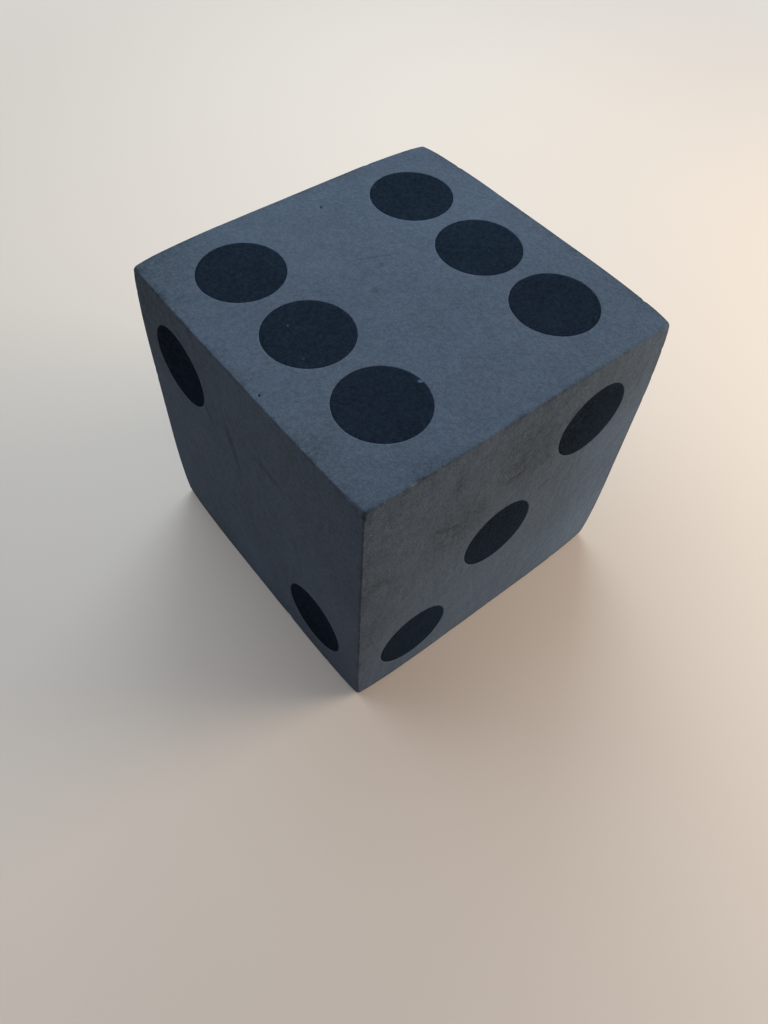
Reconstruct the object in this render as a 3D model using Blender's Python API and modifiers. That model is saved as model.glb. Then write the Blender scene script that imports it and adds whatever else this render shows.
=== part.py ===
"""Foam play dice: a nearly cubic block of fine-cell foam with twenty-one round pips laid flush into it.

Metres, +Z up, origin at the middle of the face that the dice rests on. Three is the front face, two
the left and six the top. Opposite faces add up to seven.
"""

import itertools
import math

import bmesh
import bpy
from mathutils import Matrix, Vector

# The block, measured between the flat middles of opposite faces
WIDTH = 0.160  # from two to five
DEPTH = 0.159  # from three to four
HEIGHT = 0.1555  # from one to six
BEND_BAND = 0.048  # beside each edge and corner, the width of face that falls away from the flat middle
EDGE_DROP = 0.0003  # how far a face has fallen at the middle of an edge
CORNER_PRESS = 0.0018  # how far a corner is pressed in besides, along the line to the block's middle
EDGE_ROUND = 0.0007  # radius along the twelve edges

# The pips
PIP_DIAMETER = 0.038
PIP_GAP = 0.0075  # foam left between two neighbouring pips
RECESS_DEPTH = 0.005
GLUE_GAP = 0.0003  # glue under and around a pip

# How finely the curved faces are cut into facets
BEND_STEPS = 5
BEND_CROWDING = 1.6  # above 1, these steps lie closer together towards the edge
EDGE_SEGMENTS = 3
PIP_SEGMENTS = 36

# Working allowances
OVERCUT = 0.004  # how far a cutter stands out of the face it enters
SHARP_ANGLE = math.radians(30)  # faces that meet at more than this show an edge

# Each face: its outward direction, the direction across it, its up direction, the places of its pips in
# steps of one pip and one gap, and how far each pip was laid from that place by hand
FACES = {
    "one": {
        "out": (0, 0, -1),
        "across": (1, 0, 0),
        "up": (0, -1, 0),
        "places": ((0, 0),),
        "slips": ((0, 0),),
    },
    "two": {
        "out": (-1, 0, 0),
        "across": (0, -1, 0),
        "up": (0, 0, 1),
        "places": ((-1, 1), (1, -1)),
        "slips": ((-0.0021, -0.0015), (0.0003, 0.0011)),
    },
    "three": {
        "out": (0, -1, 0),
        "across": (1, 0, 0),
        "up": (0, 0, 1),
        "places": ((-1, -1), (0, 0), (1, 1)),
        "slips": ((-0.0022, -0.0016), (-0.0034, -0.0012), (-0.0038, -0.0020)),
    },
    "four": {
        "out": (0, 1, 0),
        "across": (-1, 0, 0),
        "up": (0, 0, 1),
        "places": ((-1, -1), (1, -1), (-1, 1), (1, 1)),
        "slips": ((0, 0), (0, 0), (0, 0), (0, 0)),
    },
    "five": {
        "out": (1, 0, 0),
        "across": (0, 1, 0),
        "up": (0, 0, 1),
        "places": ((-1, -1), (1, -1), (0, 0), (-1, 1), (1, 1)),
        "slips": ((0, 0), (0, 0), (0, 0), (0, 0), (0, 0)),
    },
    "six": {
        "out": (0, 0, 1),
        "across": (1, 0, 0),
        "up": (0, 1, 0),
        "places": ((-1, -1), (-1, 0), (-1, 1), (1, -1), (1, 0), (1, 1)),
        "slips": (
            (0.0017, 0.0016),
            (0.0014, 0.0016),
            (0.0002, 0.0020),
            (0.0011, 0.0026),
            (0.0006, 0.0023),
            (0.0006, 0.0024),
        ),
    },
}

SIDES = Vector((WIDTH, DEPTH, HEIGHT))
HALVES = SIDES / 2
MIDDLE = Vector((0, 0, HEIGHT / 2))
PIP_STEP = PIP_DIAMETER + PIP_GAP


def clear_scene():
    for obj in list(bpy.data.objects):
        bpy.data.objects.remove(obj, do_unlink=True)


def new_collection(name):
    collection = bpy.data.collections.new(name)
    bpy.context.scene.collection.children.link(collection)
    return collection


def material(name, colour, roughness):
    made = bpy.data.materials.new(name)
    made.use_nodes = True
    shader = made.node_tree.nodes["Principled BSDF"]
    shader.inputs["Base Color"].default_value = (*colour, 1)
    shader.inputs["Roughness"].default_value = roughness
    shader.inputs["Metallic"].default_value = 0
    made.diffuse_color = (*colour, 1)
    return made


def add_object(name, mesh, collection):
    obj = bpy.data.objects.new(name, mesh)
    collection.objects.link(obj)
    return obj


def mesh_from(shape, name):
    """Ends the editing of a bmesh and gives it as a mesh."""
    mesh = bpy.data.meshes.new(name)
    shape.to_mesh(mesh)
    shape.free()
    return mesh


def score_lines():
    """How far from a face's edge the lines lie that the faces bend along."""
    return [BEND_BAND * (step / BEND_STEPS) ** BEND_CROWDING for step in range(1, BEND_STEPS + 1)]


def into_band(place, half):
    """How far a place lies into the band that bends, from 0 in the flat middle to 1 at the edge."""
    return max(0.0, abs(place) - (half - BEND_BAND)) / BEND_BAND


def bent(point):
    """Where a point of the plain block lies once its faces fall away to its edges and corners."""
    band = [into_band(value, half) for value, half in zip(point, HALVES)]
    shaped = Vector(point)
    for axis, other, third in ((0, 1, 2), (1, 2, 0), (2, 0, 1)):
        drop = EDGE_DROP * band[axis] * (band[other] ** 2 + band[third] ** 2)
        shaped[axis] -= math.copysign(drop, point[axis])
    corner = Vector(math.copysign(half, value) for value, half in zip(point, HALVES))
    nearness = max(0.0, 1 - (point - corner).length / BEND_BAND)
    return shaped - corner.normalized() * CORNER_PRESS * nearness**2


def block_mesh(name):
    """The block, scored along planes beside its edges so that it can bend there, then shaped."""
    shape = bmesh.new()
    bmesh.ops.create_cube(shape, size=1, matrix=Matrix.Diagonal((*SIDES, 1)))
    for distance, axis, side in itertools.product(score_lines(), range(3), (-1, 1)):
        direction = Vector((0, 0, 0))
        direction[axis] = side
        bmesh.ops.bisect_plane(
            shape,
            geom=shape.verts[:] + shape.edges[:] + shape.faces[:],
            plane_co=direction * (HALVES[axis] - distance),
            plane_no=direction,
        )
    for vertex in shape.verts:
        vertex.co = bent(vertex.co)
    bmesh.ops.recalc_face_normals(shape, faces=shape.faces[:])
    return mesh_from(shape, name)


def add_block(name, collection):
    block = add_object(name, block_mesh(name), collection)
    block.location = MIDDLE
    bevel = block.modifiers.new("rounded edges", "BEVEL")
    bevel.width = EDGE_ROUND
    bevel.segments = EDGE_SEGMENTS
    bevel.limit_method = "ANGLE"
    bevel.angle_limit = math.radians(45)
    return block


def face_frame(face):
    """A matrix from a face's own frame, with +Z out of it and its origin in its middle, to the part's."""
    turn = Matrix((face["across"], face["up"], face["out"])).transposed().to_4x4()
    return Matrix.Translation(MIDDLE + Vector(face["out"]) * HALVES) @ turn


def pip_places():
    """Each pip's name and the matrix from its own frame, with +Z out of its face, to the part's."""
    for name, face in FACES.items():
        for number, (place, slip) in enumerate(zip(face["places"], face["slips"]), start=1):
            move = Vector((place[0] * PIP_STEP + slip[0], place[1] * PIP_STEP + slip[1], 0))
            yield f"pip_{name}_{number}", face_frame(face) @ Matrix.Translation(move)


def add_disc(shape, radius, depth, matrix):
    """A round slug from this far under a face to well above it, in a bmesh."""
    height = depth + OVERCUT
    centre = Matrix.Translation((0, 0, height / 2 - depth))
    bmesh.ops.create_cone(
        shape,
        cap_ends=True,
        segments=PIP_SEGMENTS,
        radius1=radius,
        radius2=radius,
        depth=height,
        matrix=matrix @ centre,
    )


def add_recess_cutter(collection):
    shape = bmesh.new()
    for _, matrix in pip_places():
        add_disc(shape, PIP_DIAMETER / 2 + GLUE_GAP, RECESS_DEPTH, matrix)
    return add_object("recess_cutter", mesh_from(shape, "recess_cutter"), collection)


def as_guide(obj):
    obj.hide_render = True
    obj.display_type = "WIRE"


def boolean(obj, operation, other):
    cut = obj.modifiers.new(operation.lower(), "BOOLEAN")
    cut.operation = operation
    cut.solver = "EXACT"
    cut.object = other


def add_foam_block(parts, cutter, foam):
    block = add_block("foam_block", parts)
    boolean(block, "DIFFERENCE", cutter)
    block.data.materials.append(foam)
    return block


def add_pip(name, matrix, parts, block_form, foam):
    """A disc that ends in the block's own bent face, so that it lies flush with the foam round it."""
    shape = bmesh.new()
    add_disc(shape, PIP_DIAMETER / 2, RECESS_DEPTH - GLUE_GAP, Matrix())
    pip = add_object(name, mesh_from(shape, name), parts)
    pip.matrix_world = matrix
    boolean(pip, "INTERSECT", block_form)
    pip.data.materials.append(foam)
    return pip


def settle(pieces):
    """Gives each piece the mesh that its modifiers make, shaded smooth between its sharp edges."""
    graph = bpy.context.evaluated_depsgraph_get()
    made = [bpy.data.meshes.new_from_object(piece.evaluated_get(graph)) for piece in pieces]
    for piece, mesh in zip(pieces, made):
        piece.modifiers.clear()
        piece.data = mesh
        mesh.shade_smooth()
        mesh.set_sharp_from_angle(angle=SHARP_ANGLE)


def build():
    clear_scene()
    parts = new_collection("foam_play_dice")
    guides = new_collection("cutters")
    block_foam = material("dark_grey_foam", (0.075, 0.085, 0.1), 0.85)
    pip_foam = material("black_foam", (0.012, 0.014, 0.018), 0.8)
    block_form = add_block("block_form", guides)
    recess_cutter = add_recess_cutter(guides)
    as_guide(block_form)
    as_guide(recess_cutter)
    pieces = [add_foam_block(parts, recess_cutter, block_foam)]
    for name, matrix in pip_places():
        pieces.append(add_pip(name, matrix, parts, block_form, pip_foam))
    bpy.context.view_layer.update()
    settle(pieces)


build()
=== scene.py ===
# %% [markdown]
# # A foam play dice
#
# The real dice is a block of fine-cell foam, cut nearly to a cube of 160 mm and dark slate grey
# all through. Its twenty-one pips are discs of nearly black foam, cut out with a round die and
# glued into shallow recesses, so that they lie flush with the faces. There is no skin, no seam
# and no print.
#
# A plain model of it already exists, with every piece at its real size and place. It could be
# given better materials and left at that, but its faces are made of large flat facets, and foam
# shows its wear in small uneven places. So the plain model stays as a hidden frame to measure
# from, and each of its pieces gets a finer one in its place.

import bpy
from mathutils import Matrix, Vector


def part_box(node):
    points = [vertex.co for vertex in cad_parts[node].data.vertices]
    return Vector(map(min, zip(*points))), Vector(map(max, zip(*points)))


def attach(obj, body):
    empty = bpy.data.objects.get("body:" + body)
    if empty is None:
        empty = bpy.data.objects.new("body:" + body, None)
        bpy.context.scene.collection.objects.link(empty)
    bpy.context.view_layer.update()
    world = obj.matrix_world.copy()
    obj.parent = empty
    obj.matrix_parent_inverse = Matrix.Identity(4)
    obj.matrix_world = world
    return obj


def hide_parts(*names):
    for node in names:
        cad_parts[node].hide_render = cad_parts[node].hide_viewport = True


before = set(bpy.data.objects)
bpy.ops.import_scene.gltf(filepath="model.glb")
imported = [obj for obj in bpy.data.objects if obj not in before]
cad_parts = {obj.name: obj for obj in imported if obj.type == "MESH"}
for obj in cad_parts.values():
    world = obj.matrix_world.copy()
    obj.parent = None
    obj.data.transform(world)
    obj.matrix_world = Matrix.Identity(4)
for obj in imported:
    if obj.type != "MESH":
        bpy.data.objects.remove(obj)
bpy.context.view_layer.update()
print("Pieces in the plain model:", len(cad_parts))

# %% Tools for the rest of the lesson
import itertools
import math

import bmesh
import bpy
import numpy as np
from mathutils import Quaternion, Vector, noise

MM = 0.001

# %% [markdown]
# ## The camera
#
# The dice is seen from above, over the corner where the faces with two, three and six pips meet.
# Its upright edges run together towards the floor, so the camera was close, at under half a
# metre, with a wide lens. It could be placed by eye, but then the corners never quite fall where
# they should. A dice is its own ruler: its corners, edges and round pips give the camera's place,
# lens and tilt, and those are written here as they were found.

# %% Place the camera
CAMERA_PLACE = Vector((-173.6, -193.8, 370.4)) * MM
CAMERA_AIM = Vector((-24.6, -27.6, 51.8)) * MM  # a point inside the dice that it looks at
CAMERA_ROLL = math.radians(4.07)
CAMERA_LENS = 28.22  # mm
SENSOR_SIZE = 36  # mm, along the picture's height
NEAREST_SEEN = 10 * MM


def add_camera():
    camera = bpy.data.objects.new("camera", bpy.data.cameras.new("camera"))
    bpy.context.scene.collection.objects.link(camera)
    look = CAMERA_AIM - CAMERA_PLACE
    camera.location = CAMERA_PLACE
    camera.rotation_mode = "QUATERNION"
    camera.rotation_quaternion = look.to_track_quat("-Z", "Y") @ Quaternion((0, 0, 1), CAMERA_ROLL)
    camera.data.lens = CAMERA_LENS
    camera.data.sensor_width = SENSOR_SIZE
    camera.data.clip_start = NEAREST_SEEN
    bpy.context.scene.camera = camera
    return camera


camera = add_camera()
print("Camera to dice:", round((CAMERA_PLACE - CAMERA_AIM).length / MM), "mm")

# %% [markdown]
# ## Sizes
#
# The finer pieces have to lie where the plain ones lie. The numbers could be typed in again, but
# then two files would have to agree for ever. Here they are measured on the plain pieces instead:
# the block's box gives its three sides, and each pip's box gives its face, its place there and
# its size. The pips were laid by hand, so most of those in view have slipped by up to four
# millimetres from the regular layout.

# %% Measure the block and the pips
block_low, block_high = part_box("foam_block")
MIDDLE = (block_low + block_high) / 2
HALVES = np.array(block_high - block_low) / 2  # half of each side: across, deep and high
PIP_NAMES = sorted(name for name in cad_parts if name.startswith("pip_"))


def middle_of(name):
    low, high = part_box(name)
    return (low + high) / 2 - MIDDLE


def face_of(name):
    """The face that a pip lies in: the axis that it looks along, and 1 or -1 for up or down it."""
    low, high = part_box(name)
    thickness = list(high - low)
    axis = thickness.index(min(thickness))
    return axis, 1 if middle_of(name)[axis] > 0 else -1


def flat_axes(face):
    """The two axes that lie in a face, in the order that makes the face look outwards."""
    axis, side = face
    pair = ((axis + 1) % 3, (axis + 2) % 3)
    return pair if side > 0 else pair[::-1]


lone_pip_low, lone_pip_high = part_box("pip_one_1")
PIP_RADIUS = (lone_pip_high - lone_pip_low).x / 2
PIP_THICKNESS = (lone_pip_high - lone_pip_low).z
PIP_STEP = (middle_of("pip_four_2") - middle_of("pip_four_1")).length / 2
print("Sides:", np.round(2 * HALVES / MM, 1), "mm")
print("Pip radius and step:", round(PIP_RADIUS / MM, 2), round(PIP_STEP / MM, 2), "mm")

# %% Find each face's layout of pips
def place_on_face(name):
    """Where a pip's middle lies, along the two axes of its face."""
    first, second = flat_axes(face_of(name))
    return np.array((middle_of(name)[first], middle_of(name)[second]))


def layout(face):
    """A face's pips by their place in its three by three cells, and how far off all of them are."""
    cells = {}
    off = []
    for name in PIP_NAMES:
        if face_of(name) == face:
            place = place_on_face(name)
            cell = np.round(place / PIP_STEP)
            cells[tuple(int(number) for number in cell)] = name
            off.append(place - cell * PIP_STEP)
    return cells, np.mean(off, axis=0)


FACES = [(axis, side) for axis in range(3) for side in (-1, 1)]
for face in FACES:
    cells, off = layout(face)
    print("Face", face, "has", len(cells), "pips, off by", np.round(off / MM, 1), "mm")

# %% [markdown]
# ## The block's shape
#
# A saw or a hot wire leaves foam with flat faces and crisp edges. Use changes it little: the
# faces fall away by a third of a millimetre to their edges, and the eight corners are pressed in
# and blunt from landing on them. A beveled box would give one even radius everywhere, which looks
# moulded. A sculpted one couldn't be measured. So the shape is a function: it takes any point on
# the plain block and says where that point lies on the worn one. The block and the pips go
# through the same function, and that is what keeps the pips flush.

# %% Say how far the faces fall away
BEND_BAND = 48 * MM  # beside each edge and corner, the width of face that falls away
EDGE_DROP = 0.3 * MM  # how far a face has fallen at the middle of an edge
CORNER_PRESS = 1.6 * MM  # how far a corner is pressed in besides, towards the dice's middle


def corner_nearness(points, reach):
    """From 1 at a corner of the block to 0 at this reach from it."""
    corners = np.copysign(HALVES, points)
    return np.clip(1 - np.linalg.norm(points - corners, axis=1) / reach, 0, 1)


def bend(points):
    """How far points move, along each axis, when the faces fall away to their edges and corners."""
    band = np.clip(np.abs(points) - (HALVES - BEND_BAND), 0, None) / BEND_BAND
    beside = (band**2).sum(axis=1, keepdims=True) - band**2
    press = CORNER_PRESS / math.sqrt(3) * corner_nearness(points, BEND_BAND) ** 2
    return -np.sign(points) * (EDGE_DROP * band * beside + press[:, None])


corner = HALVES[None, :]
print("A corner moves by", np.round(bend(corner)[0] / MM, 2), "mm")

# %% Round the edges and blunt the corners
EDGE_RADIUS = 0.55 * MM
CORNER_RADIUS = 2.0 * MM
CORNER_REACH = 12 * MM  # how far along an edge its radius grows towards the corner
EDGE_UNEVEN = 0.3  # the share by which the edges' radius wanders
UNEVEN_LENGTH = 14 * MM


def wander(points, length, start=0.0):
    """Smooth random numbers from about -1 to 1 that change over this length."""
    shift = Vector((start, start, start))
    return np.array([noise.noise(Vector(point) / length + shift) for point in points])


def round_edges(points):
    """Where the plain block's points lie once its edges are round, and which way is out there."""
    nearness = corner_nearness(points, CORNER_REACH)
    edge = EDGE_RADIUS * (1 + EDGE_UNEVEN * wander(points, UNEVEN_LENGTH))
    radius = (edge + (CORNER_RADIUS - edge) * nearness**2)[:, None]
    inner = np.clip(points, radius - HALVES, HALVES - radius)
    out = points - inner
    out /= np.linalg.norm(out, axis=1, keepdims=True)
    return inner + out * radius, out


blunt = np.linalg.norm(corner - round_edges(corner)[0])
print("Rounding takes off a corner's tip by", round(float(blunt) / MM, 2), "mm")

# %% [markdown]
# ## Wear
#
# Rolling leaves a few marks: two dark pits in the face with six pips, a pair of cuts where a
# fingernail caught its edge, a notch in the next edge, a chip at the foot, a torn fleck on the
# rim of one pip, bitten places along the edges and a few grains of dust. Something that slid over
# the faces left smears and two thin scratches. All these could be painted on, but a notch in an
# edge has to show in the outline. So each mark is a small oval dent with a place, a direction, a
# size and a depth, and dust has a depth of nought. Its tone says whether it looks pale, as torn
# foam does, or dark, and the finish reads that tone later. The pits' dark tone is painted shade
# in the holes.

# %% List the marks
MARK_SEED = 6
BLOCK_SIDE = 80.0  # mm, from the middle to a side or just past it
EDGE_BITES = 30
BITE_REACH = 72  # mm, how far along an edge from its middle bites may lie
BITE_LENGTH, BITE_WIDTH = (2, 5), (1.2, 2.2)  # mm, the least and the most
BITE_DEPTH, BITE_TONE = (0.12, 0.4), (0.1, 0.7)


def mark(place, along, length, width, depth, tone):
    """A dent at a place on the block, all in millimetres, and its tone from -1, dark, to 1, pale.

    A place outside the block is brought back to its surface, so 80 means the face that lies there.
    """
    direction = np.array(along, float)
    return {
        "place": np.clip(np.array(place, float) * MM, -HALVES, HALVES),
        "along": direction / np.linalg.norm(direction),
        "size": (length / 2 * MM, width / 2 * MM),
        "depth": depth * MM,
        "tone": tone,
    }


seen_marks = [
    # The first two marks are the pits; their dark tone is painted shade in the holes.
    mark((-77.3, -14.2, 80), (1, 0, 0), 1.7, 1.5, 0.8, -1),
    mark((7.3, 64.4, 80), (0, 1, 0), 2.0, 1.6, 0.9, -1),
    mark((-77.4, -45.4, 80), (3, 1, 0), 6.0, 1.0, 0.3, 0.5),
    mark((-77.6, -47.4, 80), (3, 0.5, 0), 4.4, 1.0, 0.3, 0.5),
    mark((-57.2, -80, 80), (1, 0, 0), 5.0, 2.8, 0.6, 0.6),
    mark((-80, -22.2, -80), (0, 1, 0), 5.0, 3.0, 0.6, 0.2),
    mark((-25.4, -43.6, 80), (1, -1, 0), 3.2, 2.2, 0.1, 0.9),
    mark((-48.0, 9.8, 80), (1, 0, 0), 1.3, 0.9, 0, 0.7),
    mark((34.4, -19.8, 80), (0, 1, 0), 1.2, 1.0, 0, 0.5),
    mark((-76.4, -80, 63.3), (0, 0, 1), 1.5, 1.2, 0, 0.8),
    mark((-40.7, -80, 68.7), (1, 0, 1), 1.7, 1.4, 0, 0.9),
    mark((-80, -76.7, 76.4), (0, 0, 1), 1.4, 1.2, 0, 0.9),
    mark((-80, 39.3, 55.6), (0, 1, -2), 3.2, 1.0, 0, 0.3),
    mark((-80, 26.7, 65.8), (0, 1, 1), 1.8, 1.3, 0, 0.5),
]

# The long narrow ones of 2 mm and less are scratches.
smears = [
    mark((-1.6, -80, 38.3), (0.99, 0, 0.13), 19, 4.6, 0.15, -0.42),
    mark((-39.8, -80, 33.1), (0.9, 0, -0.44), 30, 6.0, 0.15, -0.38),
    mark((-67.1, -80, 21.8), (0.88, 0, -0.48), 38, 6.0, 0.1, -0.3),
    mark((21.5, -80, 16.0), (0.99, 0, 0.15), 13, 5.0, 0.15, -0.38),
    mark((-34.9, -80, 59.8), (0, 0, 1), 30, 10.0, 0.1, -0.32),
    mark((-60.9, -80, 42.1), (0.37, 0, 0.93), 14, 4.0, 0, 0.2),
    mark((6.2, 22.4, 80), (0.93, -0.37, 0), 38, 2.0, 0.05, -0.4),
    mark((-2.0, 23.2, 80), (0.97, -0.25, 0), 22, 1.8, 0.05, -0.32),
    mark((3.8, 17.1, 80), (1, 0, 0), 9, 5.0, 0.05, -0.38),
    mark((-7.3, 6.1, 80), (0.98, 0.18, 0), 9, 5.6, 0.05, -0.38),
    mark((-80, 9.6, 27.3), (0, -0.26, -0.97), 46, 8.0, 0.15, -0.42),
    mark((-80, -17.8, 37.9), (0, -1, -0.07), 34, 8.0, 0.15, -0.38),
    mark((-80, 26.0, 30.7), (0, -0.41, -0.91), 18, 5.6, 0.1, -0.34),
]


def edge_bites():
    """Small bites at random places along the twelve edges."""
    chance = np.random.default_rng(MARK_SEED)
    bites = []
    for _ in range(EDGE_BITES):
        run = int(chance.integers(3))
        place = np.copysign(BLOCK_SIDE, chance.uniform(-1, 1, 3))
        place[run] = chance.uniform(-BITE_REACH, BITE_REACH)
        along = np.eye(3)[run]
        ranges = (BITE_LENGTH, BITE_WIDTH, BITE_DEPTH, BITE_TONE)
        bites.append(mark(place, along, *(chance.uniform(*least_most) for least_most in ranges)))
    return bites


MARKS = seen_marks + smears + edge_bites()
print("Marks:", len(MARKS))

# %% [markdown]
# ## Darker patches and painted light
#
# The faces are darker in patches, most of them near their upper corners and edges. They are
# paler at their feet, over the lower right of the face with three pips and towards the back right
# of the top, and that paleness is painted light. Noise alone would spread this evenly over all
# the faces, so the patches are listed, broad ones and a few small ones beside the edges. Each
# keeps to one face and fades out on it with a soft edge.

# %% List the darker patches and the painted light
PATCH_ROUND = 1.5 * MM  # how far a patch reaches round an edge
TWO, THREE, FOUR = (-1, 0, 0), (0, -1, 0), (0, 1, 0)  # the ways that these faces look
FIVE, SIX = (1, 0, 0), (0, 0, 1)


def patch(place, out, reach, tone):
    """A round patch on the face that looks this way out, and how much darker or lighter it is."""
    middle = np.clip(np.array(place, float) * MM, -HALVES, HALVES)
    return {"place": middle, "out": np.array(out), "reach": reach * MM, "tone": tone}


# A patch with a tone above nought is painted light; one below nought makes the foam darker.
PATCHES = [
    patch((-75, -80, 60), THREE, 75, -0.18),
    patch((15, -80, 70), THREE, 75, -0.22),
    patch((-80, -80, -5), THREE, 36, -0.16),
    patch((-80, -80, 24), THREE, 18, -0.12),
    patch((-80, -80, -18), THREE, 22, -0.14),
    patch((-80, -80, -40), THREE, 18, -0.1),
    patch((-30, -80, 27), THREE, 26, -0.22),
    patch((6, -80, 44), THREE, 26, -0.18),
    patch((80, -80, 15), THREE, 50, 0.2),
    patch((72, -80, -50), THREE, 46, 0.2),
    patch((80, -80, -80), THREE, 95, 0.26),
    patch((-20, -80, -80), THREE, 90, 0.22),
    patch((-80, 80, 60), TWO, 60, -0.24),
    patch((-80, 40, 80), TWO, 40, -0.14),
    patch((-80, -50, -18), TWO, 46, 0.1),
    patch((-80, 8, -58), TWO, 32, 0.14),
    patch((-50, -80, 80), SIX, 13, -0.12),
    patch((-80, 50, 80), SIX, 22, -0.1),
    patch((-80, -2, 80), SIX, 12, -0.1),
    patch((-80, -48, 80), SIX, 22, -0.12),
    patch((-80, 80, 80), SIX, 44, -0.24),
    patch((50, 20, 80), SIX, 55, 0.12),
    patch((80, -50, 50), FIVE, 80, -0.15),
    patch((80, 40, -70), FIVE, 80, 0.12),
    patch((50, 80, 60), FOUR, 80, -0.12),
    patch((-40, 80, -70), FOUR, 80, 0.1),
]


def patch_darkening_and_light(points):
    """How much darker or lighter the patches make each point. Lighter is painted light."""
    tone = np.zeros(len(points))
    for one in PATCHES:
        away = points - one["place"]
        nearness = np.clip(1 - np.linalg.norm(away, axis=1) / one["reach"], 0, 1)
        on_face = np.clip(1 + away @ one["out"] / PATCH_ROUND, 0, 1)
        tone += one["tone"] * on_face * nearness**2 * (3 - 2 * nearness)
    return tone


# The count takes in the pale patches, which are painted light.
print("Soiled and rubbed places:", len(PATCHES))

# %% Measure the marks at any point
DENT_FALL = 1.5  # above 1, a dent has a soft rim
WAVE_HEIGHT = 0.1 * MM
WAVE_LENGTH = 34 * MM
WAVE_START = 7.0  # sets the waves apart from the edges' unevenness


def dents(points):
    """At each point of the plain block, the depth of the marks there and their tone."""
    depth = np.zeros(len(points))
    tone = np.zeros(len(points))
    for one in MARKS:
        away = points - one["place"]
        run = away @ one["along"]
        aside = np.linalg.norm(away - run[:, None] * one["along"], axis=1)
        half_length, half_width = one["size"]
        inside = 1 - (run / half_length) ** 2 - (aside / half_width) ** 2
        fullness = np.clip(inside, 0, 1) ** DENT_FALL
        depth += one["depth"] * fullness
        tone += one["tone"] * fullness
    return depth, np.clip(tone, -1, 1)


def worn(points):
    """Where points on and under the plain block's surface lie once worn, and the marks' tone."""
    depths = HALVES - np.abs(points)
    nearest = depths.argmin(axis=1)
    rows = np.arange(len(points))
    straight_out = np.zeros_like(points)
    straight_out[rows, nearest] = np.sign(points[rows, nearest])
    under = depths[rows, nearest]
    surface = points + straight_out * under[:, None]
    placed, out = round_edges(surface)
    dent, tone = dents(surface)
    wave = WAVE_HEIGHT * (0.5 + 0.5 * wander(surface, WAVE_LENGTH, WAVE_START))
    placed += bend(surface) - out * (dent + wave)[:, None]
    return placed - straight_out * under[:, None], tone


deepest, _ = dents(np.array([one["place"] for one in MARKS]))
print("Deepest mark:", round(float(deepest.max()) / MM, 2), "mm")

# %% [markdown]
# ## Sheets of quads
#
# The block needs twenty-one round recesses. The quick way is a Boolean cut, but it leaves long
# thin triangles between each round rim and the block's edges, and on a matt, nearly flat face
# those show as creases. Instead each face is laid out in three by three square cells with a
# border, and a cell that holds a pip is drawn as loops that turn from a square into a circle.
# Every loop has as many points as its neighbour, so the faces stay clean quads. The helpers below
# draw such sheets flat, as places across a face and a depth under it.

# %% Draw grids and loops
def grid(across, up):
    """A flat grid of points from its lines, in rows, each point with its depth of nought."""
    u, v = np.meshgrid(across, up)
    return np.stack([u, v, np.zeros_like(u)], axis=-1)


def closed(loop):
    return np.concatenate([loop, loop[:1]])


def square_loop(half, cuts):
    """Points round a square, anticlockwise from its lower left corner."""
    run = np.linspace(-half, half, cuts + 1)[:-1]
    end = np.full(cuts, half)
    sides = [(run, -end), (end, run), (-run, end), (-end, -run)]
    return closed(np.concatenate([np.stack(side, axis=-1) for side in sides]))


def circle_loop(radius, cuts):
    """As many points round a circle as such a square has, from the same corner."""
    turn = np.linspace(0, 2 * math.pi, 4 * cuts + 1) - math.radians(135)
    return radius * np.stack([np.cos(turn), np.sin(turn)], axis=-1)


def at_depth(loop, depth):
    return np.concatenate([loop, np.full((len(loop), 1), depth)], axis=1)


def between(outer, inner, shares):
    """Loops on the way from one loop to another."""
    return [outer + (inner - outer) * share for share in shares]


print("Points round a square, cut in four along each side:", len(square_loop(1, 4)))
print("Points round the circle that goes with it:", len(circle_loop(1, 4)))

# %% Gather sheets into one mesh
WELD = 0.01 * MM
STILL_BORDER = 5 * MM  # beside the block's edges, where no point slides


def quads_of(sheet, start):
    """The quads between a sheet's rows and columns, with its points numbered from start."""
    rows, columns = sheet.shape[:2]
    number = start + np.arange(rows * columns).reshape(rows, columns)
    corners = (number[:-1, :-1], number[:-1, 1:], number[1:, 1:], number[1:, :-1])
    return np.stack(corners, axis=-1).reshape(-1, 4)


def onto_block(sheet, face, off):
    """Lays a flat sheet on a face of the plain block and slides it by what the layout is off.

    The slide fades out between the middle cells and the block's edges, so that faces still meet.
    """
    axis, side = face
    first, second = flat_axes(face)
    still = HALVES[[first, second]] - STILL_BORDER
    free = ((still - np.abs(sheet[..., :2])) / (still - 1.5 * PIP_STEP)).min(axis=-1).clip(0, 1)
    laid = np.empty_like(sheet)
    laid[..., first] = sheet[..., 0] + off[0] * free
    laid[..., second] = sheet[..., 1] + off[1] * free
    laid[..., axis] = side * (HALVES[axis] - sheet[..., 2])
    return laid


def welded(sheets):
    """One bmesh of all the sheets, joined where their points meet."""
    points, quads, count = [], [], 0
    for sheet in sheets:
        points.append(sheet.reshape(-1, 3))
        quads.append(quads_of(sheet, count))
        count += len(points[-1])
    rough = bpy.data.meshes.new("rough")
    rough.from_pydata(np.concatenate(points).tolist(), [], np.concatenate(quads).tolist())
    shape = bmesh.new()
    shape.from_mesh(rough)
    bpy.data.meshes.remove(rough)
    bmesh.ops.remove_doubles(shape, verts=shape.verts[:], dist=WELD)
    return shape


trial = welded([grid((0.0, 1.0), (0.0, 1.0)), grid((1.0, 2.0), (0.0, 1.0))])
print("Two squares side by side, welded, have", len(trial.verts), "corners")
trial.free()

# %% [markdown]
# ## The foam block
#
# The block is one piece of foam. Its faces are drawn with lines close together beside the edges,
# where the shape bends, and wider apart in the middle. Round each recess the rim is broken by a
# fifth of a millimetre, because a die presses foam down a little before it cuts. Each recess lies
# where its own pip does, a little off its cell's middle. The plain model leaves a gap round each
# disc for its glue. Soft foam closes on a disc that is pressed in, so here the wall nearly
# touches it.

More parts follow.
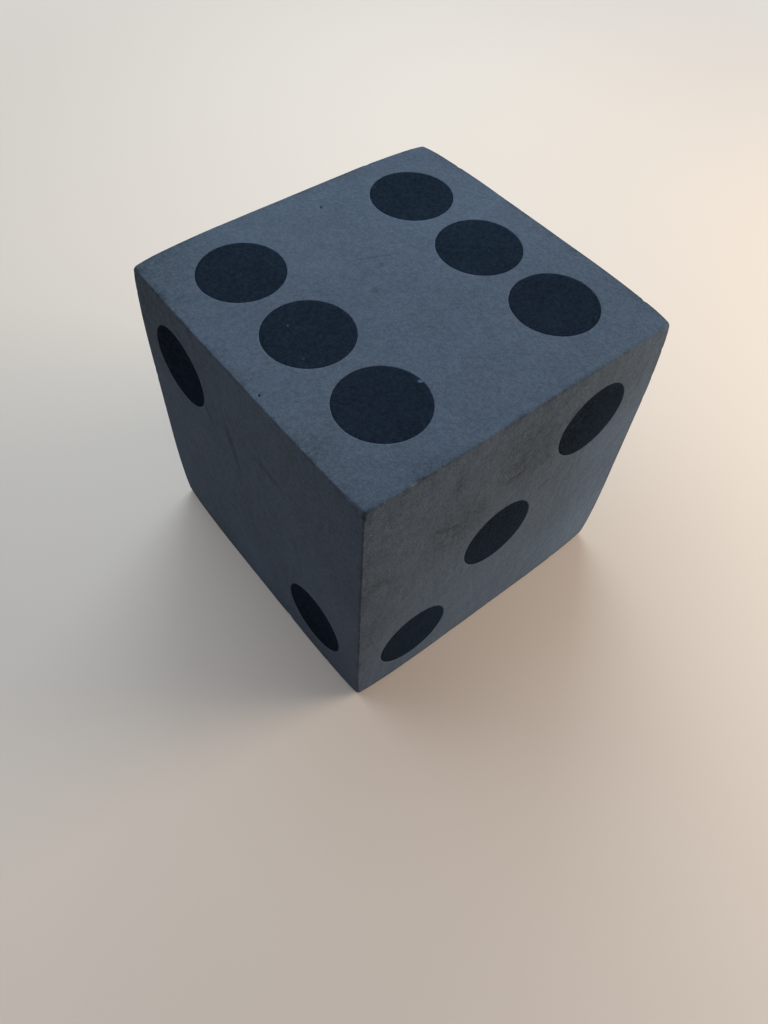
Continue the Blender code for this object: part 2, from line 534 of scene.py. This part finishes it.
# %% Draw one face of the block
CELL_CUTS = 26
EDGE_LINES = np.array([0, 0.2, 0.4, 0.6, 0.85, 1.2, 1.7, 2.4, 3.4, 4.7, 6.5, 9.0]) * MM
RIM_ROUND = 0.22 * MM
RIM_STEPS = 3
WALL_GAP = 0.04 * MM  # between a disc and the wall that has closed on it
FLOOR_GAP = 0.3 * MM  # the glue under a disc
LOOP_SHARES = (0, 0.14, 0.3, 0.47, 0.64, 0.8, 0.92, 1)  # from a cell's square to its rim
WALL_SHARES = (0.5, 1)  # down the wall
FLOOR_SHARES = (0.6, 0)  # across the recess's floor


def face_bands(half):
    """The lines across a face of this half width: a border, three cells and a border."""
    cell_ends = (np.arange(4) - 1.5) * PIP_STEP
    middle = [np.linspace(low, high, CELL_CUTS + 1) for low, high in itertools.pairwise(cell_ends)]
    border = np.append(half - EDGE_LINES, cell_ends[-1])
    return [-border, *middle, border[::-1]]


def rim(radius, outwards):
    """Loops over a rounded rim that ends in a wall of this radius. Outwards is 1, inwards is -1."""
    loops = []
    for turn in np.linspace(0, math.pi / 2, RIM_STEPS + 1):
        reach = radius + outwards * RIM_ROUND * (1 - math.sin(turn))
        loops.append(at_depth(circle_loop(reach, CELL_CUTS), RIM_ROUND * (1 - math.cos(turn))))
    return loops


def recess(slip):
    """The sheet of a cell whose pip has slipped this far from the cell's middle."""
    wall = PIP_RADIUS + WALL_GAP
    bottom = PIP_THICKNESS + FLOOR_GAP
    loops = rim(wall, 1)
    loops += [at_depth(circle_loop(wall, CELL_CUTS), bottom * share) for share in WALL_SHARES]
    loops += [at_depth(circle_loop(wall * share, CELL_CUTS), bottom) for share in FLOOR_SHARES]
    loops = [loop + (*slip, 0) for loop in loops]
    square = at_depth(square_loop(PIP_STEP / 2, CELL_CUTS), 0)
    return np.stack(between(square, loops[0], LOOP_SHARES) + loops[1:])


def block_face(face):
    """The sheets of one face, laid on the plain block."""
    cells, off = layout(face)
    first, second = flat_axes(face)
    columns, rows = face_bands(HALVES[first]), face_bands(HALVES[second])
    sheets = []
    for row, column in itertools.product(range(5), repeat=2):
        cell = (column - 2, row - 2)
        if cell in cells:
            middle = np.array(cell) * PIP_STEP
            slip = place_on_face(cells[cell]) - middle - off
            sheet = recess(slip) + (*middle, 0)
        else:
            sheet = grid(columns[column], rows[row])
        sheets.append(onto_block(sheet, face, off))
    return sheets


print("Sheets in one face:", len(block_face(FACES[0])))

# %% Make the mesh finer round the marks
MARK_MARGIN = 1.6 * MM
MARK_CUTS = 2
NARROW = 1.45 * MM  # half the width of a mark that needs finer quads
narrow_marks = [one for one in MARKS if min(one["size"]) < NARROW]


def refine_at_marks(shape):
    """Cuts the quads near narrow marks in four, twice over, so that even these have a shape."""
    for _ in range(MARK_CUTS):
        shape.verts.ensure_lookup_table()
        points = np.array([vertex.co for vertex in shape.verts])
        near = np.zeros(len(points), bool)
        for one in narrow_marks:
            reach = max(one["size"]) + MARK_MARGIN
            near |= np.linalg.norm(points - one["place"], axis=1) < reach
        edges = [edge for edge in shape.edges if all(near[end.index] for end in edge.verts)]
        bmesh.ops.subdivide_edges(shape, edges=edges, cuts=1, use_grid_fill=True)


print("Marks that need finer quads:", len(narrow_marks))

# %% Turn a shape into a piece
EDGE_WIDTH = 3.0 * MM  # how far from an edge its dark line has faded to a third
SHARP_ANGLE = math.radians(50)


def edge_nearness(points):
    """From 0 on the open face to 1 on an edge of the block."""
    second_least = np.sort(HALVES - np.abs(points), axis=1)[:, 1]
    return np.exp(-second_least / EDGE_WIDTH)


def add_tone(mesh, name, values):
    """Gives each point of a mesh a number under this name, for the finish to read."""
    tone = mesh.attributes.new(name, "FLOAT", "POINT")
    tone.data.foreach_set("value", values.astype(np.float32))


def as_piece(name, shape, node):
    mesh = bpy.data.meshes.new(name)
    shape.to_mesh(mesh)
    shape.free()
    flat = np.array([vertex.co for vertex in mesh.vertices])
    placed, tone = worn(flat)
    mesh.vertices.foreach_set("co", (placed + np.array(MIDDLE)).ravel())
    add_tone(mesh, "marks", tone)
    # The patches' tone goes to the finish; its lighter part is painted light.
    add_tone(mesh, "patch_darkening_and_light", patch_darkening_and_light(flat))
    add_tone(mesh, "edge", edge_nearness(flat))
    mesh.shade_smooth()
    mesh.set_sharp_from_angle(angle=SHARP_ANGLE)
    piece = bpy.data.objects.new(name, mesh)
    bpy.context.scene.collection.objects.link(piece)
    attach(piece, "root")
    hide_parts(node)
    return piece


# %% Build the block
block_shape = welded([sheet for face in FACES for sheet in block_face(face)])
refine_at_marks(block_shape)
block = as_piece("block", block_shape, "foam_block")
print("Block:", len(block.data.vertices), "vertices and", len(block.data.polygons), "faces")

# %% [markdown]
# ## The pips
#
# A pip is a disc of black foam, nearly five millimetres thick, laid in by hand. A cylinder would
# do from far away, but its flat lid can't follow the falling face, and twenty-one equal lids look
# printed. Each disc here is drawn like the recesses, a square grid that turns into a circle, and
# goes through the same wear as the block. Some lie a few hundredths of a millimetre lower than
# others.

# %% Build the pips
PIP_SEED = 3
SINK_LEAST = 0.02 * MM
SINK_MOST = 0.12 * MM
GRID_SHARE = 0.5  # the part of a pip's radius that its middle grid takes
TOP_LOOPS = 8
SIDE_SHARES = (0.5, 0.98)  # down a disc's side
UNDER_SHARES = (0.98, 0.5, 0)  # across its underside


def pip_sheets(sink):
    """The sheets of a disc whose top lies a little under the face."""
    half = PIP_RADIUS * GRID_SHARE
    lines = np.linspace(-half, half, CELL_CUTS + 1)
    middle = grid(lines, lines)
    edge = rim(PIP_RADIUS, -1)
    square = at_depth(square_loop(half, CELL_CUTS), 0)
    loops = between(square, edge[0], np.linspace(0, 1, TOP_LOOPS)) + edge[1:]
    for share in SIDE_SHARES:
        loops.append(at_depth(circle_loop(PIP_RADIUS, CELL_CUTS), PIP_THICKNESS * share))
    for share in UNDER_SHARES:
        loops.append(at_depth(circle_loop(PIP_RADIUS * share, CELL_CUTS), PIP_THICKNESS))
    outside = np.stack(loops)[::-1]
    for sheet in (middle, outside):
        on_top = sheet[..., 2] < PIP_THICKNESS / 4
        sheet[..., 2] += np.where(on_top, sink, 0)
    return [middle, outside]


def build_pip(name, sink):
    place = (*place_on_face(name), 0)
    sheets = [onto_block(sheet + place, face_of(name), (0, 0)) for sheet in pip_sheets(sink)]
    shape = welded(sheets)
    refine_at_marks(shape)
    return as_piece("foam_" + name, shape, name)


pip_chance = np.random.default_rng(PIP_SEED)
pips = [build_pip(name, pip_chance.uniform(SINK_LEAST, SINK_MOST)) for name in PIP_NAMES]
print("Pips:", len(pips), "with", len(pips[0].data.polygons), "faces each")

# %% [markdown]
# ## The foam's finish
#
# Cut foam is matt. Its cells are half a millimetre wide, too small to see one by one, and where
# they bunch together the foam looks mottled. On top of that lie faint clouds, smears from
# rubbing, pale specks of dust and edges soiled by hands. A photograph wrapped round the block
# would show seams and one fixed size of detail. Noise in the shader has neither, so each of these
# is one noise at its own real size, and the layers are added up into how much lighter or darker
# than the foam's own colour each spot is. Low light also brings out a relief, so the same layers
# raise the surface by a few hundredths of a millimetre.

# %% Small helpers for shader nodes
def node(tree, kind, inputs=None, **settings):
    """Adds a node. Each input is a number to set or an output of another node to link."""
    made = tree.nodes.new(kind)
    for name, value in settings.items():
        setattr(made, name, value)
    for name, value in (inputs or {}).items():
        if isinstance(value, bpy.types.NodeSocket):
            tree.links.new(value, made.inputs[name])
        else:
            made.inputs[name].default_value = value
    return made


def total(tree, values):
    """The sum of several outputs."""
    result = values[0]
    for value in values[1:]:
        result = node(tree, "ShaderNodeMath", {0: result, 1: value}, operation="ADD").outputs[0]
    return result


def times(tree, first, second):
    """The product of two outputs, or of an output and a number."""
    return node(tree, "ShaderNodeMath", {0: first, 1: second}, operation="MULTIPLY").outputs[0]


def ramp(tree, value, low, high, start, end):
    """Turns low..high into start..end and holds there, with soft ends."""
    inputs = {"Value": value, "From Min": low, "From Max": high, "To Min": start, "To Max": end}
    made = node(tree, "ShaderNodeMapRange", inputs, interpolation_type="SMOOTHSTEP")
    return made.outputs["Result"]


def attribute(tree, name):
    return node(tree, "ShaderNodeAttribute", attribute_name=name).outputs["Fac"]


# %% Noise, cells and specks of a real size
NOISE_LOW, NOISE_HIGH = 0.25, 0.75  # nearly all of a noise lies between these


def cloud(tree, place, size, strength, detail=3.0, roughness=0.5, distortion=0.0):
    """Noise with bumps of a real size, from minus to plus its strength."""
    inputs = {"Vector": place, "Scale": 1 / size, "Detail": detail}
    inputs |= {"Roughness": roughness, "Distortion": distortion}
    made = node(tree, "ShaderNodeTexNoise", inputs)
    return ramp(tree, made.outputs["Fac"], NOISE_LOW, NOISE_HIGH, -strength, strength)


def foam_cells(tree, place, size):
    """The foam's cut cells, from 0 in a cell's hollow to about 1 on the walls round it."""
    made = node(tree, "ShaderNodeTexVoronoi", {"Vector": place, "Scale": 1 / size})
    return made.outputs["Distance"]


def specks(tree, place, spacing, radius, share, strength):
    """Pale specks of this radius, in a share of the places that are this far apart."""
    made = node(tree, "ShaderNodeTexVoronoi", {"Vector": place, "Scale": 1 / spacing})
    chance = node(tree, "ShaderNodeSeparateColor", {"Color": made.outputs["Color"]}).outputs["Red"]
    there = node(tree, "ShaderNodeMath", {0: chance, 1: share}, operation="LESS_THAN").outputs[0]
    width = radius / spacing
    return times(tree, ramp(tree, made.outputs["Distance"], width / 2, width, strength, 0), there)


# %% What rubbing leaves
STREAK_SHAPE = (1.0, 1.0, 0.35)  # how fast a streak changes across, across and along
SLANTED = (0, math.radians(62), 0)  # the way most of the rubbing went on the face with three pips
UPRIGHT = (math.radians(10), 0, 0)
UPRIGHT_SHARE = 0.7  # the upright streaks' strength, as a share of the slanted ones'


def rubbed(tree, place, turn, size, strength):
    """Streaks as wide as this size and nearly three times as long, in one direction."""
    settings = {"rotation_type": "EULER_XYZ", "invert": True}
    turned = node(tree, "ShaderNodeVectorRotate", {"Vector": place, "Rotation": turn}, **settings)
    stretch = {0: turned.outputs[0], 1: STREAK_SHAPE}
    drawn = node(tree, "ShaderNodeVectorMath", stretch, operation="MULTIPLY").outputs[0]
    return cloud(tree, drawn, size, strength, detail=0.5, distortion=0.8)


def rubbing(tree, place, streaks):
    """Slanted and upright streaks, added up."""
    slanted = rubbed(tree, place, SLANTED, 10 * MM, streaks)
    upright = rubbed(tree, place, UPRIGHT, 7 * MM, streaks * UPRIGHT_SHARE)
    return total(tree, [slanted, upright])


# %% What soils the foam, and the shade painted in its pits
FULL_GRIME_TONE = -0.2  # the tone at which a patch has all of its grime
PIT_SHADE_AND_SMEAR_LOSS = -0.8  # how much darker the darkest marks are: the pits, where it is painted shade
GRIT_STRENGTH, MOTTLING_STRENGTH = 0.8, 0.28  # as shares of the dust's
EDGE_PATCH = 9 * MM  # how long the strong and the faint stretches of an edge are


def grime(tree, place, darkening_and_light, dust):
    """Pale grit and fine mottling, only where the patches darken the foam."""
    pale = dust * GRIT_STRENGTH
    grit = specks(tree, place, spacing=2.2 * MM, radius=0.5 * MM, share=0.45, strength=pale)
    mottling = cloud(tree, place, 3.0 * MM, dust * MOTTLING_STRENGTH, detail=2.0, roughness=0.8)
    amount = ramp(tree, darkening_and_light, FULL_GRIME_TONE, 0, 1, 0)
    return times(tree, amount, total(tree, [grit, mottling]))


def soiled_edges(tree, place, edge_gain):
    """A dark line along the edges, strong in some places and faint in others."""
    patchy = ramp(tree, cloud(tree, place, EDGE_PATCH, 1.0), -0.5, 0.7, 0.2, 1)
    return ramp(tree, times(tree, attribute(tree, "edge"), patchy), 0, 1, 0, edge_gain)


def marked(tree, mark_gain):
    """Painted shade in the pits, dark smears and pale torn foam, after the marks' tone."""
    tone = attribute(tree, "marks")
    dark = ramp(tree, tone, -1, 0, PIT_SHADE_AND_SMEAR_LOSS, 0)
    pale = ramp(tree, tone, 0, 1, 0, mark_gain)
    return total(tree, [dark, pale])


# %% A foam from its colour and its wear
CELL_SIZE, MOTTLE_SIZE = 0.6 * MM, 1.8 * MM
BROAD_CLOUD, SMALL_CLOUD = 38 * MM, 11 * MM
SMALL_CLOUD_SHARE = 0.4  # of the broad one's strength
TINT_CLOUD, TINT_UNEVEN = 55 * MM, 0.4
TINT_GAIN = -6.0  # how fast the foam takes its tint where it gets darker
ROUGH_CLOUD, ROUGH_UNEVEN = 20 * MM, 0.05
ROUGHNESS_SPREAD = 0.1
CELL_RELIEF, RUBBED_RELIEF = 0.5, 3  # as shares of the relief
RELIEF = 0.08 * MM


def foam(name, colour, tint, clouds, streaks, grain, dust, edge_gain, mark_gain, roughness, shine):
    """A matt foam of this colour, and of this tint where the patches darken it."""
    made = bpy.data.materials.new(name)
    made.use_nodes = True
    tree = made.node_tree
    shader = tree.nodes["Principled BSDF"]
    place = node(tree, "ShaderNodeTexCoord").outputs["Object"]
    darkening_and_light = attribute(tree, "patch_darkening_and_light")
    hollows = foam_cells(tree, place, CELL_SIZE)
    mottle = cloud(tree, place, MOTTLE_SIZE, grain, detail=2.0, roughness=1.0)
    pressed = rubbing(tree, place, streaks)
    lightness = [
        ramp(tree, hollows, 0, 1, 1 - grain / 3, 1 + grain / 3),
        mottle,
        pressed,
        cloud(tree, place, BROAD_CLOUD, clouds),
        cloud(tree, place, SMALL_CLOUD, clouds * SMALL_CLOUD_SHARE),
        # The patches' tone: darker in places, and paler where light is painted.
        darkening_and_light,
        specks(tree, place, spacing=9 * MM, radius=0.8 * MM, share=0.2, strength=dust),
        grime(tree, place, darkening_and_light, dust),
        soiled_edges(tree, place, edge_gain),
        marked(tree, mark_gain),
    ]
    tint_cloud = cloud(tree, place, TINT_CLOUD, TINT_UNEVEN)
    # Where the patches paint light, the foam also takes its bluer colour, as painted cool light.
    tinted = total(tree, [tint_cloud, times(tree, darkening_and_light, TINT_GAIN)])
    inks = {"Factor": ramp(tree, tinted, -1, 1, 0, 1), "A": (*colour, 1), "B": (*tint, 1)}
    mixed = node(tree, "ShaderNodeMix", inputs=inks, data_type="RGBA").outputs["Result"]
    lit = {0: mixed, "Scale": total(tree, lightness)}
    shaded = node(tree, "ShaderNodeVectorMath", lit, operation="SCALE").outputs[0]
    tree.links.new(shaded, shader.inputs["Base Color"])
    uneven = total(tree, [cloud(tree, place, ROUGH_CLOUD, ROUGH_UNEVEN), mottle])
    least, most = roughness - ROUGHNESS_SPREAD, roughness + ROUGHNESS_SPREAD
    tree.links.new(ramp(tree, uneven, -0.2, 0.2, least, most), shader.inputs["Roughness"])
    most_pressed = streaks * (1 + UPRIGHT_SHARE)
    heights = [
        ramp(tree, hollows, 0, 1, 0, CELL_RELIEF),
        ramp(tree, mottle, -grain, grain, 0, 1),
        ramp(tree, pressed, -most_pressed, most_pressed, 0, RUBBED_RELIEF),
    ]
    relief = {"Height": total(tree, heights), "Strength": 1.0, "Distance": RELIEF}
    bump = node(tree, "ShaderNodeBump", relief)
    tree.links.new(bump.outputs["Normal"], shader.inputs["Normal"])
    shader.inputs["Specular IOR Level"].default_value = shine
    return made


# %% [markdown]
# ## Two colours of foam
#
# In cool light the block looks blue and in warm light grey, so its own colour lies between: a
# slate grey that is a little bluer in some places than in others. It takes its bluest colour on
# the pale patches, as painted cool light. The pips are less than a fifth as bright. Nearly black
# foam shows even a weak shine as a grey veil when it is seen from the side, so the pips have no
# shine and the block next to none.

# %% Give both foams their colours
slate_foam = foam(
    "slate_foam",
    colour=(0.069, 0.0885, 0.115),
    tint=(0.0725, 0.0900, 0.1095),
    clouds=0.03,
    streaks=0.03,
    grain=0.18,
    dust=0.4,
    edge_gain=-0.18,
    mark_gain=1.2,
    roughness=0.8,
    shine=0.02,
)
black_foam = foam(
    "black_foam",
    colour=(0.0102, 0.0163, 0.0248),
    tint=(0.0110, 0.0160, 0.0232),
    clouds=0.05,
    streaks=0.04,
    grain=0.33,
    dust=1.1,
    edge_gain=0.0,
    mark_gain=6.0,
    roughness=0.8,
    shine=0.0,
)
block.data.materials.append(slate_foam)
for pip in pips:
    pip.data.materials.append(black_foam)
print("Nodes in one foam:", len(slate_foam.node_tree.nodes))

# %% [markdown]
# ## The floor
#
# The dice stands on one face on a matt pale floor, which keeps its soft shadow. A floor that
# simply ends would draw a hard line behind the dice in a low view. A curved backdrop would hide
# it, but it also throws light back from behind. So the floor only fades into the backdrop's
# colour, beyond a third of a metre and only where the camera looks. For the light it stays a
# floor.

# %% Lay the floor
FLOOR_HALF = 6.0
FLOOR_COLOUR = (0.67, 0.56, 0.455)
BACKDROP = (0.80, 0.78, 0.75)
FLOOR_ROUGHNESS = 0.7
FADE_START, FADE_END = 0.35, 1.0  # metres from the dice


def seen_directly(tree):
    """1 where the camera looks, also off or through something shiny or clear, and 0 for light."""
    path = node(tree, "ShaderNodeLightPath").outputs
    seen = path["Is Camera Ray"]
    for ray in ("Is Glossy Ray", "Is Transmission Ray"):
        either = node(tree, "ShaderNodeMath", {0: seen, 1: path[ray]}, operation="MAXIMUM")
        seen = either.outputs[0]
    return seen


def floor_finish():
    """A matt pale floor that fades into the backdrop's colour away from the dice."""
    made = bpy.data.materials.new("pale_floor")
    made.use_nodes = True
    tree = made.node_tree
    near = tree.nodes["Principled BSDF"]
    near.inputs["Base Color"].default_value = (*FLOOR_COLOUR, 1)
    near.inputs["Roughness"].default_value = FLOOR_ROUGHNESS
    far = node(tree, "ShaderNodeEmission", {"Color": (*BACKDROP, 1)})
    place = node(tree, "ShaderNodeTexCoord").outputs["Object"]
    away = node(tree, "ShaderNodeVectorMath", {0: place}, operation="LENGTH").outputs["Value"]
    fade = ramp(tree, away, FADE_START, FADE_END, 0, 1)
    parts = {0: times(tree, fade, seen_directly(tree)), 1: near.outputs[0], 2: far.outputs[0]}
    mixed = node(tree, "ShaderNodeMixShader", parts)
    tree.links.new(mixed.outputs[0], tree.nodes["Material Output"].inputs["Surface"])
    return made


def add_floor():
    """One square sheet, not attached to the dice."""
    signs = ((-1, -1), (1, -1), (1, 1), (-1, 1))
    corners = [(across * FLOOR_HALF, deep * FLOOR_HALF, 0) for across, deep in signs]
    mesh = bpy.data.meshes.new("floor")
    mesh.from_pydata(corners, [], [(0, 1, 2, 3)])
    mesh.materials.append(floor_finish())
    floor = bpy.data.objects.new("floor", mesh)
    bpy.context.scene.collection.objects.link(floor)
    return floor


floor = add_floor()
print("Floor:", round(floor.dimensions.x, 1), "m wide")

# %% [markdown]
# ## The light
#
# Each face has its own tone, and that is what makes the block look solid. The top is the lightest
# and coolest, the face with three pips is a little darker and neutral, and the one with two pips
# is half as bright. One large lamp would give soft light but the same colour on every face. So
# two cool lamps hang over the far side, as a window would, and two warm ones stand low at the
# right, where a pale room throws light back. The rest of the room adds a little from everywhere.
# They are near and broad, so the shadows stay soft, and weak enough that the foam looks about as
# dark as it is.

# %% Hang the lights
def add_light(name, place, size, power, colour):
    """A square soft light that faces the dice."""
    light = bpy.data.lights.new(name, "AREA")
    light.size = size
    light.energy = power
    light.color = colour
    lamp = bpy.data.objects.new(name, light)
    lamp.location = place
    lamp.rotation_mode = "QUATERNION"
    lamp.rotation_quaternion = (MIDDLE - Vector(place)).to_track_quat("-Z", "Y")
    lamp.visible_camera = False
    bpy.context.scene.collection.objects.link(lamp)
    return lamp


COOL = (0.68, 0.86, 1.0)
WARM = (1.0, 0.925, 0.81)
lamps = [
    add_light("window", place=(0.45, 0.5, 0.55), size=0.5, power=3.3, colour=COOL),
    add_light("overhead", place=(-0.1, 0.3, 0.7), size=0.7, power=3.6, colour=COOL),
    add_light("low", place=(0.55, -0.5, 0.22), size=0.4, power=2.4, colour=WARM),
    add_light("side", place=(0.9, -0.5, 0.4), size=0.6, power=8.4, colour=WARM),
]
print("Lamps:", len(lamps), "with", round(sum(lamp.data.energy for lamp in lamps), 1), "W in all")

# %% Light the room weakly and show it pale
ROOM_COLOUR = (0.835, 0.785, 1.0)
ROOM_STRENGTH = 0.243


def add_world():
    world = bpy.data.worlds.new("room_light")
    world.use_nodes = True
    tree = world.node_tree
    room = tree.nodes["Background"]
    room.inputs["Color"].default_value = (*ROOM_COLOUR, 1)
    room.inputs["Strength"].default_value = ROOM_STRENGTH
    backdrop = node(tree, "ShaderNodeBackground", {"Color": (*BACKDROP, 1), "Strength": 1.0})
    parts = {0: seen_directly(tree), 1: room.outputs[0], 2: backdrop.outputs[0]}
    mixed = node(tree, "ShaderNodeMixShader", parts)
    tree.links.new(mixed.outputs[0], tree.nodes["World Output"].inputs["Surface"])
    bpy.context.scene.world = world


add_world()
bpy.context.scene.view_settings.view_transform = "Standard"
print("Light from the room:", ROOM_STRENGTH)
